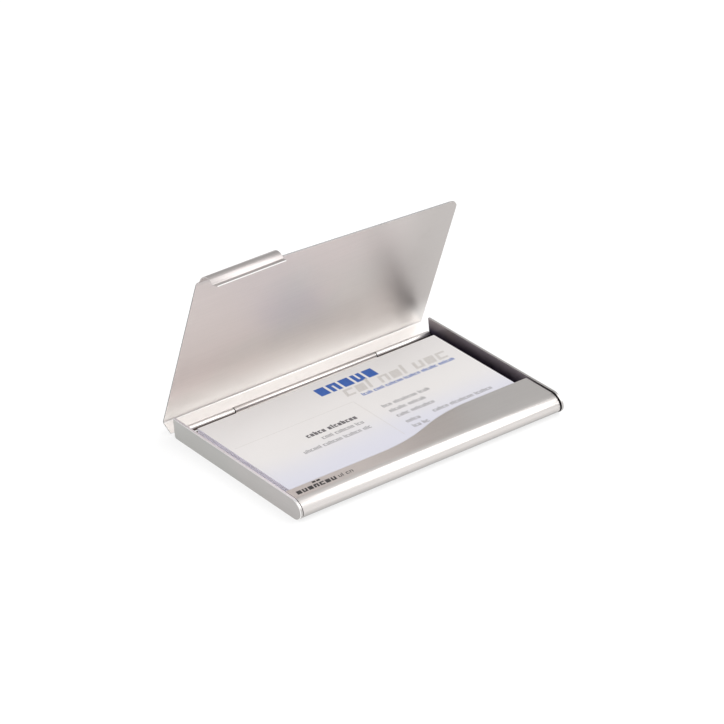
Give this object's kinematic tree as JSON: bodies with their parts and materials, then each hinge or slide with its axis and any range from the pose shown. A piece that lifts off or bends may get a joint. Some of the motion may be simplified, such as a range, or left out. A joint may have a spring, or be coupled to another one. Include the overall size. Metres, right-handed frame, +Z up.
{
  "type": "business card case",
  "caption": "Slim satin metal business card case with a rolled front edge, a hinged lid that clasps over it, and loose cards.",
  "frame": {"origin": "middle of the case's underside, on the surface it stands on", "axes": "+X along the hinge to the right, +Y from the rolled front edge back to the hinge, +Z up"},
  "size_m": [0.0934, 0.0733, 0.0632],
  "materials": {
    "satin_steel": "satin, fine grain along the case",
    "end_plate_steel": "satin with a bright broken edge",
    "lid_steel": "satin, fine grain along the lid",
    "pin_steel": "drawn wire",
    "card_stock": "uncoated white card",
    "printed_card": null
  },
  "bodies": {
    "case": {"base_shell": "satin_steel", "left_end_plate": "end_plate_steel", "right_end_plate": "end_plate_steel", "hinge_pin": "pin_steel"},
    "lid": {"lid": "lid_steel"},
    "card_stack": {"card_01": "card_stock", "card_02": "card_stock", "card_03": "card_stock", "card_04": "card_stock", "card_05": "card_stock", "card_06": "card_stock", "card_07": "card_stock", "card_08": "card_stock", "card_09": "card_stock", "card_10": "card_stock", "card_11": "card_stock", "card_12": "card_stock", "card_13": "card_stock", "card_14": "card_stock", "card_15": "card_stock"},
    "top_card": {"top_card": "printed_card"}
  },
  "joints": [
    {"name": "lid_hinge", "type": "hinge", "parent": "case", "child": "lid", "pos_m": [0, 0.034, 0.00115], "axis": [-1, 0, 0], "range_deg": [-63, 26.5]},
    {"name": "card_stack_slide", "type": "slide", "parent": "case", "child": "card_stack", "axis": [0, 1, 0], "range_m": [0, 0.0074]},
    {"name": "top_card_slide", "type": "slide", "parent": "case", "child": "top_card", "axis": [0, 1, 0], "range_m": [0, 0.0094]}
  ]
}
